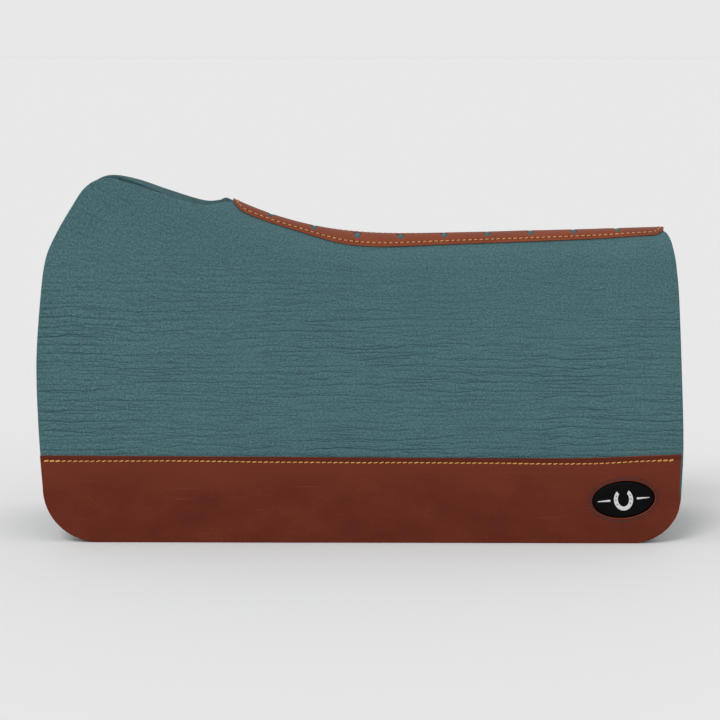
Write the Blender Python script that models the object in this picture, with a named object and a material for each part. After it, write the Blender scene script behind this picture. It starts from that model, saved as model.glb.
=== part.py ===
"""Contoured western saddle pad of thick wool felt, standing on the lower edges of its two flaps.

Frame: +Z up, X along the pad with the withers end at -X and the rear end at +X, and the near
side at -Y. The origin is on the floor under the middle of the pad. Lengths are in metres.

The pad is two felt halves that meet in a seam along the spine. A spine leather covers the seam,
with a row of diamond cut-outs and one closed row of stitching near its edge. A wear leather lies
on the lower part of each flap, with one row of stitching along its top and an oval window that
shows a black badge, which is let into the felt behind it and held by its own ring of stitching.

Every piece is cut flat, as leather and felt are, in pattern coordinates (x, s). s is the way
round the pad from the top of the ridge, negative down the near side and positive down the off
side. bend() then lays each flat piece over the pad's shape, h above the felt's outer face.
"""

import functools
import math

import bmesh
import bpy

# Overall shape
FOOT_HALF_WIDTH = 0.105
TOP_HALF_WIDTH = 0.040
SWAY_HEIGHT = 0.400  # above this height a flap hangs straight
RIDGE_DROP = 0.038  # how far below the crest the ridge starts to round over
FELT = 0.020
LEATHER = 0.0022
GAP = 0.0005  # between one layer and the next

# Crest line of the ridge, along the outer face of the felt
SPINE_FRONT_X = -0.152
DIP_X = 0.050
SPINE_REAR_X = 0.3625
DIP_Z = 0.3511
FRONT_RISE = 0.0424
REAR_RISE = 0.0080
FRONT_POWER = 2.25
REAR_POWER = 1.2

# Seam between the halves, a little to the near side of the top of the ridge
SEAM_S = -0.0085
SEAM_GAP = 0.0012

# Edge of a flap as (x, z): up the front, round the withers lobe and along the notch to the spine
FRONT_EDGE = [
    (-0.3705, 0.065),
    (-0.3765, 0.135),
    (-0.3800, 0.210),
    (-0.3768, 0.277),
    (-0.3710, 0.325),
    (-0.3588, 0.355),
    (-0.3400, 0.387),
    (-0.3230, 0.411),
    (-0.3030, 0.421),
    (-0.2710, 0.417),
    (-0.2330, 0.4045),
    (-0.2000, 0.3942),
    (-0.1830, 0.3910),
    (-0.1680, 0.3928),
]
REAR_EDGE = [
    (0.3775, 0.060),
    (0.3800, 0.110),
    (0.3794, 0.180),
    (0.3771, 0.278),
    (0.3737, 0.320),
    (0.3702, 0.342),
    (0.3680, 0.351),
    (0.3655, 0.3565),
]
FRONT_CORNER = 0.065  # radii of the two lower corners
REAR_CORNER = 0.057

# Wear leather
BAND_TOP = [
    (-0.375, 0.1010),
    (-0.200, 0.1007),
    (-0.060, 0.1000),
    (0.100, 0.0990),
    (0.220, 0.0986),
    (0.285, 0.0996),
    (0.330, 0.1016),
    (0.377, 0.1032),
]
BAND_REAR_INSET = 0.003
BAND_STITCH_DROP = 0.0062
BAND_STITCH_INSET = 0.0055
THREAD = 0.0013
THREAD_HEIGHT = 0.0006

# Badge, behind an oval window near the lower rear corner
BADGE_X = 0.3095
BADGE_Z = 0.0512
BADGE_TILT = math.radians(5)
WINDOW = (0.0370, 0.0218)
BADGE = (0.0425, 0.0273)
BADGE_RING = (0.0400, 0.0248)
BADGE_THICK = 0.0012
POCKET = (0.0432, 0.0280)
POCKET_DEPTH = 0.0018
POCKET_CUTTER_TOP = 0.004
RING_WIDTH = 0.0010

# Spine leather: how far round from the crest its middle lies, at places along it
SPINE_MIDDLE = [
    (-0.200, 0.0000),
    (-0.090, -0.0005),
    (-0.055, -0.0040),
    (-0.020, -0.0095),
    (0.020, -0.0101),
    (0.060, -0.0086),
    (0.110, -0.0066),
    (0.200, -0.0049),
    (0.285, -0.0028),
    (0.330, 0.0002),
    (0.380, 0.0020),
]
SPINE_HALF_WIDTH = 0.025
SPINE_STEPS = 24
SPINE_SHIFT = 0.001  # the strip lies this much to the rear of the seam
SPINE_CORNER = 0.016
SPINE_STITCH_INSET = 0.0046
DIAMONDS = 9
DIAMOND_FIRST_X = -0.106
DIAMOND_PITCH = 0.0517
DIAMOND_HALF = (0.0056, 0.0155)

# Pattern coordinate of the floor edge, and the cuts that let a flat piece bend
S_FLOOR = 0.385
COLUMNS = [-0.375 + 0.025 * i for i in range(31)]
RIDGE_END = 0.064
RIDGE_ROWS = [RIDGE_END * i / 8 for i in range(9)]
FLAP_ROWS = [RIDGE_END + (S_FLOOR - RIDGE_END) * i / 12 for i in range(1, 12)]

TEAL = (0.065, 0.150, 0.170)
BROWN = (0.140, 0.026, 0.014)
SPINE_BROWN = (0.240, 0.058, 0.030)
GOLD = (0.730, 0.350, 0.062)
BLACK = (0.008, 0.007, 0.006)


def crest(x):
    """Height of the crest at x. Ahead of the spine it runs straight on, over the open notch."""
    ahead = max(0.0, DIP_X - x) / (DIP_X - SPINE_FRONT_X)
    behind = max(0.0, x - DIP_X) / (SPINE_REAR_X - DIP_X)
    if ahead > 1:
        return DIP_Z + FRONT_RISE * (1 + FRONT_POWER * (ahead - 1))
    return DIP_Z + FRONT_RISE * ahead**FRONT_POWER + REAR_RISE * behind**REAR_POWER


def half_width(z):
    """Half the width of the pad at height z on a flap, and its slope there."""
    middle = (FOOT_HALF_WIDTH + TOP_HALF_WIDTH) / 2
    swing = (FOOT_HALF_WIDTH - TOP_HALF_WIDTH) / 2
    turn = math.pi * min(max(z / SWAY_HEIGHT, 0.0), 1.0)
    return middle + swing * math.cos(turn), -swing * math.pi / SWAY_HEIGHT * math.sin(turn)


@functools.lru_cache(maxsize=None)
def ridge(x, steps=32):
    """Points (arc, y, z, normal y, normal z) from the top of the ridge down to where a flap starts."""
    top = crest(x)
    start_z = top - RIDGE_DROP
    start_y, slope = half_width(start_z)
    round_over = 0.5523
    control = [
        (0.0, top),
        (round_over * start_y, top),
        (start_y + slope * round_over * RIDGE_DROP, start_z + round_over * RIDGE_DROP),
        (start_y, start_z),
    ]
    points = []
    arc = 0.0
    for i in range(steps + 1):
        t = i / steps
        weights = ((1 - t) ** 3, 3 * t * (1 - t) ** 2, 3 * t * t * (1 - t), t**3)
        y = sum(w * p[0] for w, p in zip(weights, control))
        z = sum(w * p[1] for w, p in zip(weights, control))
        speeds = ((1 - t) ** 2, 2 * t * (1 - t), t * t)
        dy = sum(w * (control[k + 1][0] - control[k][0]) for k, w in enumerate(speeds))
        dz = sum(w * (control[k + 1][1] - control[k][1]) for k, w in enumerate(speeds))
        run = math.hypot(dy, dz)
        if points:
            arc += math.hypot(y - points[-1][1], z - points[-1][2])
        points.append((arc, y, z, -dz / run, dy / run))
    return points


def between(points, column, value):
    """The row of the table where its column reaches the value."""
    for low, high in zip(points, points[1:]):
        if (low[column] - value) * (high[column] - value) <= 0:
            t = (value - low[column]) / ((high[column] - low[column]) or 1.0)
            return [a + (b - a) * t for a, b in zip(low, high)]
    return points[-1]


def drop(x, z):
    """Pattern coordinate, without its sign, of height z at x."""
    points = ridge(round(x, 6))
    arc, start_z = points[-1][0], points[-1][2]
    if z > start_z:
        return between(points, 2, z)[0]
    return arc + (S_FLOOR - arc) * (1 - z / start_z)


def bend(x, s, h):
    """Place in the pad of pattern point (x, s), h above the felt's outer face."""
    points = ridge(round(x, 6))
    arc, start_z = points[-1][0], points[-1][2]
    if abs(s) < arc:
        _, y, z, normal_y, normal_z = between(points, 0, abs(s))
    else:
        z = start_z * (1 - (abs(s) - arc) / (S_FLOOR - arc))
        y, slope = half_width(z)
        run = math.hypot(1, slope)
        normal_y, normal_z = 1 / run, -slope / run
    side = -1 if s < 0 else 1
    return x, side * (y + h * normal_y), z + h * normal_z


def smooth(points, steps):
    """A smooth line through the points, with this many steps from each to the next."""
    line = []
    ends = [points[0], *points, points[-1]]
    for before, start, end, after in zip(ends, ends[1:], ends[2:], ends[3:]):
        for i in range(steps):
            t = i / steps
            weights = (
                ((2 - t) * t - 1) * t / 2,
                ((3 * t - 5) * t * t + 2) / 2,
                ((4 - 3 * t) * t + 1) * t / 2,
                (t - 1) * t * t / 2,
            )
            knots = (before, start, end, after)
            line.append(tuple(sum(w * knot[k] for w, knot in zip(weights, knots)) for k in (0, 1)))
    return [*line, points[-1]]


def arc_points(centre, radii, start, end, steps):
    """Points on part of an ellipse, from angle start to angle end in degrees."""
    angles = [math.radians(start + (end - start) * i / steps) for i in range(steps + 1)]
    return [(centre[0] + radii[0] * math.cos(a), centre[1] + radii[1] * math.sin(a)) for a in angles]


def lower_corners():
    """The flap's edge from the rear edge, round under it and up to the front edge, as (x, z)."""
    rear_x = REAR_EDGE[0][0] - REAR_CORNER
    front_x = FRONT_EDGE[0][0] + FRONT_CORNER
    rear = arc_points((rear_x, REAR_CORNER), (REAR_CORNER, REAR_CORNER), 0, -90, 8)
    front = arc_points((front_x, FRONT_CORNER), (FRONT_CORNER, FRONT_CORNER), 270, 180, 8)
    return rear + front


def pattern(outline, side):
    """The outline, drawn in (x, z) on a flap, as points of the pattern on one side of the pad."""
    return [(x, side * drop(x, max(z, 0.0))) for x, z in outline]


def felt_outline(side):
    """Outline of one felt half: lower edge, front edge, withers, notch, seam and rear edge."""
    front = smooth(FRONT_EDGE, 3)
    rear = smooth(REAR_EDGE, 3)
    seam = SEAM_S + side * SEAM_GAP / 2
    steps = 20
    run = SPINE_REAR_X - SPINE_FRONT_X
    along_seam = [(SPINE_FRONT_X + run * i / steps, seam) for i in range(steps + 1)]
    flap = lower_corners() + front[1:]
    return pattern(flap, side) + along_seam + pattern(reversed(rear[1:]), side)


def band_outline(side):
    """Outline of one wear leather, which follows the felt's lower edge."""
    top = smooth(BAND_TOP, 3)
    flap = smooth(FRONT_EDGE, 3)
    rear = smooth(REAR_EDGE, 3)
    around = [p for p in reversed(rear[1:]) if p[1] < top[-1][1] - 0.004] + lower_corners()
    around += [p for p in flap[1:] if p[1] < top[0][1] - 0.004]
    front_x = between([(z, x) for x, z in flap], 0, top[0][1])[1]
    rear_x = between([(z, x) for x, z in rear], 0, top[-1][1])[1]
    edge = [(front_x, top[0][1]), *top[1:-1], (rear_x, top[-1][1])]
    inset = [(x - BAND_REAR_INSET if x > 0 else x, z) for x, z in around + edge]
    return pattern(inset, side)


def band_stitch_outline(side):
    """One run of thread under the top edge of a wear leather."""
    line = [(x, z - BAND_STITCH_DROP) for x, z in smooth(BAND_TOP, 3)]
    line[0] = (line[0][0] + BAND_STITCH_INSET, line[0][1])
    line[-1] = (line[-1][0] - BAND_STITCH_INSET - BAND_REAR_INSET, line[-1][1])
    lower = [(x, z - THREAD / 2) for x, z in line]
    upper = [(x, z + THREAD / 2) for x, z in reversed(line)]
    return pattern(lower + upper, side)


def badge_oval(side, radii, count=32):
    """An oval round the badge's centre, with its rear end tilted up."""
    points = []
    for i in range(count):
        angle = 2 * math.pi * i / count
        across, up = radii[0] * math.cos(angle), radii[1] * math.sin(angle)
        x = BADGE_X + across * math.cos(BADGE_TILT) - up * math.sin(BADGE_TILT)
        points.append((x, BADGE_Z + across * math.sin(BADGE_TILT) + up * math.cos(BADGE_TILT)))
    return pattern(points, side)


def spine_middle(x):
    """How far round from the crest the strip's middle lies at x."""
    return between(smooth(SPINE_MIDDLE, 4), 0, x)[1]


def spine_outline(inset):
    """Outline of the spine leather, drawn this far inside its edge."""
    front = SPINE_FRONT_X + SPINE_SHIFT + inset
    rear = SPINE_REAR_X + SPINE_SHIFT - inset
    corner = SPINE_CORNER - inset / 2
    half = SPINE_HALF_WIDTH - inset
    run = rear - front - 2 * corner
    sides = [(front + corner + run * i / SPINE_STEPS, half) for i in range(1, SPINE_STEPS)]
    front_arc = arc_points((front + corner, 0), (corner, half), 180, 90, 6)
    rear_arc = arc_points((rear - corner, 0), (corner, half), 90, 0, 6)
    off = front_arc + sides + rear_arc
    near = [(x, -w) for x, w in reversed(off[1:-1])]
    return [(x, spine_middle(x) + w) for x, w in off + near]


def diamond_outline(i):
    x = DIAMOND_FIRST_X + DIAMOND_PITCH * i
    along, across = DIAMOND_HALF
    middle = spine_middle(x)
    return [(x - along, middle), (x, middle - across), (x + along, middle), (x, middle + across)]


def finish(name, colour, roughness):
    """One plain material."""
    material = bpy.data.materials.new(name)
    material.use_nodes = True
    shader = material.node_tree.nodes["Principled BSDF"]
    shader.inputs["Base Color"].default_value = (*colour, 1.0)
    shader.inputs["Roughness"].default_value = roughness
    return material


def new_collection(name):
    collection = bpy.data.collections.new(name)
    bpy.context.scene.collection.children.link(collection)
    return collection


def flat_cut(outlines, low, high):
    """A bmesh of the flat piece with these outlines, from h = low to h = high."""
    curve = bpy.data.curves.new("cutting", "CURVE")
    curve.dimensions = "2D"
    curve.fill_mode = "BOTH"
    curve.extrude = (high - low) / 2
    for outline in outlines:
        spline = curve.splines.new("POLY")
        spline.points.add(len(outline) - 1)
        for point, (x, s) in zip(spline.points, outline):
            point.co = (x, s, 0, 1)
        spline.use_cyclic_u = True
    cut = bpy.data.objects.new("cutting", curve)
    bpy.context.scene.collection.objects.link(cut)
    bpy.context.view_layer.update()
    mesh = bpy.data.meshes.new_from_object(cut.evaluated_get(bpy.context.evaluated_depsgraph_get()))
    bpy.data.objects.remove(cut)
    flat = bmesh.new()
    flat.from_mesh(mesh)
    bmesh.ops.remove_doubles(flat, verts=flat.verts, dist=1e-6)
    bmesh.ops.dissolve_limit(flat, angle_limit=0.001, verts=flat.verts, edges=flat.edges)
    for vert in flat.verts:
        vert.co.z += (low + high) / 2
    return flat


def lay_over(name, outlines, low, high, material, collection):
    """Cuts a flat piece into strips, bends it over the pad and makes it an object."""
    flat = flat_cut(outlines, low, high)
    rows = {row * sign for row in RIDGE_ROWS + FLAP_ROWS for sign in (-1, 1)}
    planes = [((x, 0, 0), (1, 0, 0)) for x in COLUMNS]
    planes += [((0, s, 0), (0, 1, 0)) for s in sorted(rows)]
    for place, direction in planes:
        everything = flat.verts[:] + flat.edges[:] + flat.faces[:]
        bmesh.ops.bisect_plane(flat, geom=everything, plane_co=place, plane_no=direction, dist=1e-5)
    bmesh.ops.triangulate(flat, faces=flat.faces)
    for vert in flat.verts:
        vert.co = bend(*vert.co)
    bmesh.ops.recalc_face_normals(flat, faces=flat.faces)
    mesh = bpy.data.meshes.new(name)
    flat.to_mesh(mesh)
    flat.free()
    mesh.shade_smooth()
    mesh.set_sharp_from_angle(angle=math.radians(35))
    mesh.materials.append(material)
    piece = bpy.data.objects.new(name, mesh)
    collection.objects.link(piece)
    return piece


def cut_from(piece, cutter):
    cutter.hide_render = True
    cutter.display_type = "WIRE"
    boolean = piece.modifiers.new(cutter.name, "BOOLEAN")
    boolean.operation = "DIFFERENCE"
    boolean.object = cutter


def build():
    for old in list(bpy.data.objects):
        bpy.data.objects.remove(old)
    pad = new_collection("saddle_pad")
    cutters = new_collection("cutters")
    teal = finish("teal_felt", TEAL, 0.95)
    brown = finish("wear_leather", BROWN, 0.6)
    spine_brown = finish("spine_leather", SPINE_BROWN, 0.6)
    gold = finish("gold_thread", GOLD, 0.7)
    black = finish("badge_black", BLACK, 0.45)
    over_felt = GAP
    leather_top = over_felt + LEATHER
    thread_low = leather_top + GAP
    for side_name, side in (("near", -1), ("off", 1)):
        felt = lay_over(f"felt_{side_name}", [felt_outline(side)], -FELT, 0, teal, pad)
        pocket_name, pocket_outline = f"badge_pocket_{side_name}", [badge_oval(side, POCKET)]
        pocket = lay_over(pocket_name, pocket_outline, -POCKET_DEPTH, POCKET_CUTTER_TOP, teal, cutters)
        cut_from(felt, pocket)
        band = [band_outline(side), badge_oval(side, WINDOW)]
        lay_over(f"wear_leather_{side_name}", band, over_felt, leather_top, brown, pad)
        stitch_name = f"wear_leather_stitching_{side_name}"
        thread_high = thread_low + THREAD_HEIGHT
        lay_over(stitch_name, [band_stitch_outline(side)], thread_low, thread_high, gold, pad)
        badge_low = -POCKET_DEPTH + GAP
        badge = [badge_oval(side, BADGE)]
        lay_over(f"badge_{side_name}", badge, badge_low, badge_low + BADGE_THICK, black, pad)
        outer = [radius + RING_WIDTH / 2 for radius in BADGE_RING]
        inner = [radius - RING_WIDTH / 2 for radius in BADGE_RING]
        ring = [badge_oval(side, outer), badge_oval(side, inner)]
        lay_over(f"badge_stitching_{side_name}", ring, thread_low, thread_high, black, pad)
    diamonds = [diamond_outline(i) for i in range(DIAMONDS)]
    spine = [spine_outline(0.0), *diamonds]
    lay_over("spine_leather", spine, over_felt, leather_top, spine_brown, pad)
    loop = [spine_outline(SPINE_STITCH_INSET - THREAD / 2), spine_outline(SPINE_STITCH_INSET + THREAD / 2)]
    lay_over("spine_stitching", loop, thread_low, thread_low + THREAD_HEIGHT, gold, pad)


build()
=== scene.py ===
# %% [markdown]
# # A felt saddle pad
#
# A western saddle pad is two thick halves of wool felt, joined along the spine under a stitched
# leather strip, with a wide leather on the lower part of each flap. This lesson dresses a packed,
# plain model of one in felt, leather and thread. The plain model is the frame: its sizes are repeated
# here, and each of its nodes is replaced by a visible piece.

# %% Load the frame
import math

import bmesh
import bpy
import numpy as np
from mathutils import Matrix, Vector


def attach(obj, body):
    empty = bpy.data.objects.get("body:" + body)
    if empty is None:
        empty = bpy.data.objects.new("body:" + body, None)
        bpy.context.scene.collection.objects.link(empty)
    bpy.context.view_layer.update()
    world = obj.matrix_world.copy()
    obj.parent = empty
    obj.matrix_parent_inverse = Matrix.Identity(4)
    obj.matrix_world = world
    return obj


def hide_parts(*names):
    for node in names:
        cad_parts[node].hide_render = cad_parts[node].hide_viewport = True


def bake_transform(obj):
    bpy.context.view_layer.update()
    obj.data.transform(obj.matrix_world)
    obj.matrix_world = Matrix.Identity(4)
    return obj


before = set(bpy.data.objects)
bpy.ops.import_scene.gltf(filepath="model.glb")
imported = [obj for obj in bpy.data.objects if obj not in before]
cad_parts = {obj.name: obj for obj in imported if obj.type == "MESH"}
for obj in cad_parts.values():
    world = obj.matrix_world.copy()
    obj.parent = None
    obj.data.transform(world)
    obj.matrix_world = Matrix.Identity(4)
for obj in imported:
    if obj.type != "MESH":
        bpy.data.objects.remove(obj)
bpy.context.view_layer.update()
print("nodes:", ", ".join(sorted(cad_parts)))

# %% [markdown]
# ## The camera
#
# A pad for sale is shown from the side, from a little above the level, with a long lens that keeps
# its outline true. A camera could be turned by hand, but it is easier to place it on a sphere round a
# point that it looks at.

# %% Camera
AIM = Vector((0.0005, 0.0, 0.2004))
DISTANCE = 2.6
ELEVATION = math.radians(8.5)
AZIMUTH = math.radians(0.5)

camera = bpy.data.objects.new("camera", bpy.data.cameras.new("camera"))
bpy.context.scene.collection.objects.link(camera)
towards_camera = Vector(
    (
        math.sin(AZIMUTH) * math.cos(ELEVATION),
        -math.cos(AZIMUTH) * math.cos(ELEVATION),
        math.sin(ELEVATION),
    )
)
camera.location = AIM + towards_camera * DISTANCE
camera.rotation_euler = (-towards_camera).to_track_quat("-Z", "Y").to_euler()
camera.data.lens = 107.6
bpy.context.scene.camera = camera
print("camera at", [round(c, 3) for c in camera.location])

# %% [markdown]
# ## The floor and the light
#
# The pad stands on a plain pale floor in even, soft light, as in a white studio. A bright sky all
# round gives most of it, and one wide, soft sun from high on the left gives the creases and edges
# their small shadows. Lamps close by would do it too, but they leave the far floor dark.

# %% Floor
FLOOR_GREY = 0.78
floor_bm = bmesh.new()
bmesh.ops.create_circle(floor_bm, cap_ends=True, segments=64, radius=60)
floor_mesh = bpy.data.meshes.new("floor")
floor_bm.to_mesh(floor_mesh)
floor_bm.free()
floor = bpy.data.objects.new("floor", floor_mesh)
floor.location.z = -0.0004
bpy.context.scene.collection.objects.link(floor)
floor_paint = bpy.data.materials.new("floor_paint")
floor_paint.use_nodes = True
floor_shader = floor_paint.node_tree.nodes["Principled BSDF"]
floor_shader.inputs["Base Color"].default_value = (FLOOR_GREY, FLOOR_GREY, FLOOR_GREY, 1)
floor_shader.inputs["Roughness"].default_value = 0.9
floor_shader.inputs["Specular IOR Level"].default_value = 0.1
floor_mesh.materials.append(floor_paint)

# %% Light
SKY_STRENGTH = 0.80
world = bpy.data.worlds.new("studio")
world.use_nodes = True
world.node_tree.nodes["Background"].inputs["Color"].default_value = (1.0, 1.0, 1.0, 1)
world.node_tree.nodes["Background"].inputs["Strength"].default_value = SKY_STRENGTH
bpy.context.scene.world = world
bpy.context.scene.view_settings.view_transform = "Standard"

sun = bpy.data.lights.new("sun", "SUN")
sun.energy = 1.0
sun.angle = math.radians(25)
sun_object = bpy.data.objects.new("sun", sun)
sun_object.rotation_euler = Vector((-0.45, -0.80, 1.05)).to_track_quat("Z", "Y").to_euler()
bpy.context.scene.collection.objects.link(sun_object)
print("sun strength:", sun.energy, "sky strength:", SKY_STRENGTH)

# %% [markdown]
# ## The shape of the pad
#
# Felt and leather are cut flat and then take the shape of the pad. So each piece here is drawn flat
# too, at (x, s): x along the pad, and s the way round it from the top of the ridge, negative down the
# near side. One function then bends any flat piece over the pad, h above the felt's outer face.
# Sculpting the bent pieces would be possible, but flat ones are easier to draw, and layers that are
# bent by one function can't run into each other.

# %% Sizes of the shape
HALF_LENGTH = 0.38
FOOT_HALF_WIDTH = 0.105
TOP_HALF_WIDTH = 0.040
SWAY_HEIGHT = 0.400
RIDGE_DROP = 0.038
FELT = 0.020
LEATHER = 0.0022
GAP = 0.0005
LEATHER_TOP = GAP + LEATHER
SPINE_FRONT_X = -0.152
DIP_X = 0.050
SPINE_REAR_X = 0.3625
DIP_Z = 0.3511
FRONT_RISE = 0.0424
REAR_RISE = 0.0080
FRONT_POWER = 2.25
REAR_POWER = 1.2
SEAM_S = -0.0085
SPINE_MIDDLE = [
    (-0.200, 0.0000),
    (-0.090, -0.0005),
    (-0.055, -0.0040),
    (-0.020, -0.0095),
    (0.020, -0.0101),
    (0.060, -0.0086),
    (0.110, -0.0066),
    (0.200, -0.0049),
    (0.285, -0.0028),
    (0.330, 0.0002),
    (0.380, 0.0020),
]
SEAM_GAP = 0.0002
S_FLOOR = 0.385
ROUND_OVER = 0.5523
RIDGE_STEPS = 32


# %% The crest line and the flap's curve
def crest(x):
    """Height of the ridge's top at x. Ahead of the spine it runs straight on, over the open notch."""
    ahead = np.maximum(0.0, DIP_X - x) / (DIP_X - SPINE_FRONT_X)
    behind = np.maximum(0.0, x - DIP_X) / (SPINE_REAR_X - DIP_X)
    rise = np.where(ahead > 1, 1 + FRONT_POWER * (ahead - 1), np.minimum(ahead, 1.0) ** FRONT_POWER)
    return DIP_Z + FRONT_RISE * rise + REAR_RISE * behind**REAR_POWER


def half_width(z):
    """Half the pad's width at height z on a flap, and its slope there."""
    turn = np.pi * np.clip(z / SWAY_HEIGHT, 0, 1)
    swing = (FOOT_HALF_WIDTH - TOP_HALF_WIDTH) / 2
    middle = (FOOT_HALF_WIDTH + TOP_HALF_WIDTH) / 2
    return middle + swing * np.cos(turn), -swing * np.pi / SWAY_HEIGHT * np.sin(turn)


# %% The ridge, a smooth curve from its top to where a flap starts
def ridge_controls(x):
    """The curve's four control points at each x, as heights and distances from the middle."""
    top = crest(x)
    start_z = top - RIDGE_DROP
    start_y, slope = half_width(start_z)
    y = [0 * x, ROUND_OVER * start_y, start_y + slope * ROUND_OVER * RIDGE_DROP, start_y]
    z = [top, top, start_z + ROUND_OVER * RIDGE_DROP, start_z]
    return np.stack(y, -1), np.stack(z, -1)


def ridge_table(x):
    """The curve at even steps: distances y, heights z and lengths along it, one row for each x."""
    t = np.linspace(0, 1, RIDGE_STEPS + 1)[:, None]
    weights = np.hstack([(1 - t) ** 3, 3 * t * (1 - t) ** 2, 3 * t**2 * (1 - t), t**3])
    y, z = (control @ weights.T for control in ridge_controls(x))
    steps = np.hypot(np.diff(y), np.diff(z))
    return y, z, np.hstack([np.zeros((len(x), 1)), np.cumsum(steps, 1)])


def ridge_place(x, t):
    """Distance, height and outward direction at t on each x's curve."""
    controls = ridge_controls(x)
    weights = np.stack([(1 - t) ** 3, 3 * t * (1 - t) ** 2, 3 * t**2 * (1 - t), t**3], -1)
    speeds = np.stack([(1 - t) ** 2, 2 * t * (1 - t), t**2], -1)
    y, z = ((c * weights).sum(-1) for c in controls)
    dy, dz = ((np.diff(c) * speeds).sum(-1) for c in controls)
    run = np.hypot(dy, dz)
    return y, z, -dz / run, dy / run


# %% Bending a flat piece over the pad
def bend(flat):
    """Places in the pad of flat points (x, s, h)."""
    x, s, h = flat.T
    way = np.abs(s)
    _, start_z, lengths = ridge_table(x)
    arc, start_z = lengths[:, -1], start_z[:, -1]
    step = np.clip((lengths <= way[:, None]).sum(1) - 1, 0, RIDGE_STEPS - 1)
    rows = np.arange(len(x))
    low, high = lengths[rows, step], lengths[rows, step + 1]
    t = np.clip((step + (way - low) / (high - low)) / RIDGE_STEPS, 0, 1)
    y, z, out_y, out_z = ridge_place(x, t)
    flap_z = start_z * (1 - (way - arc) / (S_FLOOR - arc))
    flap_y, slope = half_width(flap_z)
    run = np.hypot(1, slope)
    on_flap = way > arc
    y, z = np.where(on_flap, flap_y, y), np.where(on_flap, flap_z, z)
    out_y, out_z = np.where(on_flap, 1 / run, out_y), np.where(on_flap, -slope / run, out_z)
    side = np.where(s < 0, -1, 1)
    return np.stack([x, side * (y + h * out_y), z + h * out_z], -1)


def drop(x, z):
    """The way down, without its sign, to height z at x."""
    _, heights, lengths = ridge_table(x)
    arc, start_z = lengths[:, -1], heights[:, -1]
    on_ridge = [np.interp(-b, -row, far) for b, row, far in zip(z, heights, lengths)]
    return np.where(z > start_z, on_ridge, arc + (S_FLOOR - arc) * (1 - z / start_z))


foot = bend(np.array([[0.0, -S_FLOOR, 0.0], [0.0, 0.0, 0.0]]))
print("foot and crest at x = 0, mm:", (foot * 1000).round(1).tolist())

# %% [markdown]
# ## Cutting flat pieces
#
# A flat curve with a fill, an extrude and a small bevel makes a sheet with rounded edges, and a
# second curve inside the first makes a window. The sheet is then sliced, coarsely all through and
# finely on its outer face, so that it can bend and take creases and stitch marks. A grid with faces
# deleted would leave a stepped outline.


# %% Outlines
def smooth(points, steps):
    """A smooth line through the points, with this many steps from each to the next."""
    knots = np.array([points[0], *points, points[-1]], float)
    line = []
    for a, b, c, d in zip(knots, knots[1:], knots[2:], knots[3:]):
        for t in np.arange(steps) / steps:
            cubic = 1.5 * (b - c) + (d - a) / 2
            square = a - 2.5 * b + 2 * c - d / 2 + t * cubic
            line.append(b + t * ((c - a) / 2 + t * square))
    return np.array([*line, knots[-1]])


def ellipse(centre, radii, start=0, end=360, steps=48):
    """Points on an ellipse from one angle to another, in degrees."""
    angles = np.radians(np.linspace(start, end, steps + 1))
    if end - start == 360:
        angles = angles[:-1]
    return np.stack([centre[0] + radii[0] * np.cos(angles), centre[1] + radii[1] * np.sin(angles)], -1)


# %% A sheet with rounded edges
def cut_sheet(outlines, low, high, rounding):
    """A bmesh of the sheet inside the first outline, with the others as windows, from h = low to high."""
    curve = bpy.data.curves.new("sheet", "CURVE")
    curve.dimensions = "2D"
    curve.fill_mode = "BOTH"
    curve.extrude = (high - low) / 2 - rounding
    curve.bevel_depth = rounding
    curve.bevel_resolution = 2
    curve.offset = -rounding
    for outline in outlines:
        spline = curve.splines.new("POLY")
        spline.points.add(len(outline) - 1)
        for point, (x, s) in zip(spline.points, outline):
            point.co = (x, s, 0, 1)
        spline.use_cyclic_u = True
    cut = bpy.data.objects.new("sheet", curve)
    bpy.context.scene.collection.objects.link(cut)
    graph = bpy.context.evaluated_depsgraph_get()
    mesh = bpy.data.meshes.new_from_object(cut.evaluated_get(graph))
    bpy.data.objects.remove(cut)
    bm = bmesh.new()
    bm.from_mesh(mesh)
    bmesh.ops.remove_doubles(bm, verts=bm.verts, dist=1e-6)
    bmesh.ops.dissolve_limit(bm, angle_limit=0.01, verts=bm.verts, edges=bm.edges)
    bmesh.ops.recalc_face_normals(bm, faces=bm.faces)
    bmesh.ops.translate(bm, verts=bm.verts, vec=(0, 0, (low + high) / 2))
    return bm


# %% Slicing it
def slices(low, high, pitch):
    """Places from low to high, this far apart."""
    return np.arange(math.ceil(low / pitch), math.floor(high / pitch) + 1) * pitch


def slice_sheet(bm, along, across, face=None, reach=None):
    """Slices the sheet at these x and s places: all through, or only its flat face at height face.

    reach, if given, leaves faces alone that go further than this from s = 0.
    """
    geom = bm.verts[:] + bm.edges[:] + bm.faces[:]
    if face is not None:
        faces = [f for f in bm.faces if all(abs(v.co.z - face) < 1e-6 for v in f.verts)]
        if reach is not None:
            faces = [f for f in faces if all(abs(v.co.y) <= reach for v in f.verts)]
        edges = {e for f in faces for e in f.edges}
        geom = [*faces, *edges, *{v for e in edges for v in e.verts}]
    planes = [((x, 0, 0), (1, 0, 0)) for x in along] + [((0, s, 0), (0, 1, 0)) for s in across]
    for place, direction in planes:
        cut = bmesh.ops.bisect_plane(bm, geom=geom, plane_co=place, plane_no=direction, dist=1e-6)
        geom = cut["geom"]


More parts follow.
